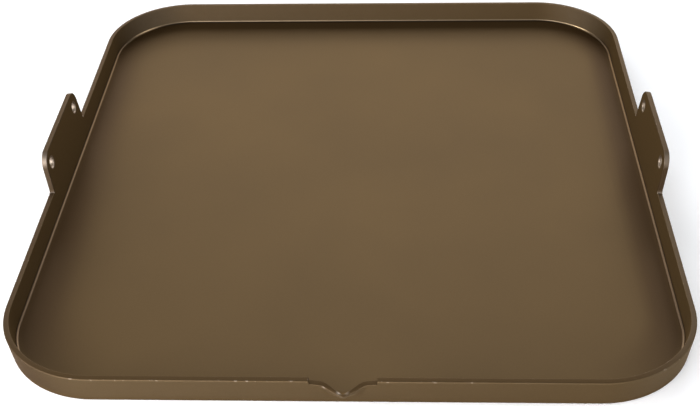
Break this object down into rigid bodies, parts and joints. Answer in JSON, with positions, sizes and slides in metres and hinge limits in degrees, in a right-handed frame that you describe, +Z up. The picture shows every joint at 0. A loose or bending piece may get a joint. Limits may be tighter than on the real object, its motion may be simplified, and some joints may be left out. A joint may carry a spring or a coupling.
{
  "type": "camp griddle plate",
  "caption": "Shallow rectangular griddle tray with rounded corners, a low leaning rim, drilled carrying ears at the sides and a pour spout at the front; rests flat over a camp stove.",
  "frame": {"origin": "centre of the flat underside, where the plate rests", "axes": "+Z up, -Y towards the side with the pour spout, +X towards the right ear as seen from the spout side"},
  "size_m": [0.385, 0.415, 0.0419],
  "materials": {
    "bronze_sheet": "satin hard-anodised bronze",
    "weld_bead": "satin hard-anodised bronze"
  },
  "bodies": {
    "root": {"cooking_plate": "bronze_sheet", "rear_rim": "bronze_sheet", "front_left_rim": "bronze_sheet", "front_right_rim": "bronze_sheet", "left_ear_plate": "bronze_sheet", "right_ear_plate": "bronze_sheet", "pour_spout": "bronze_sheet", "floor_weld": "weld_bead"}
  },
  "joints": []
}
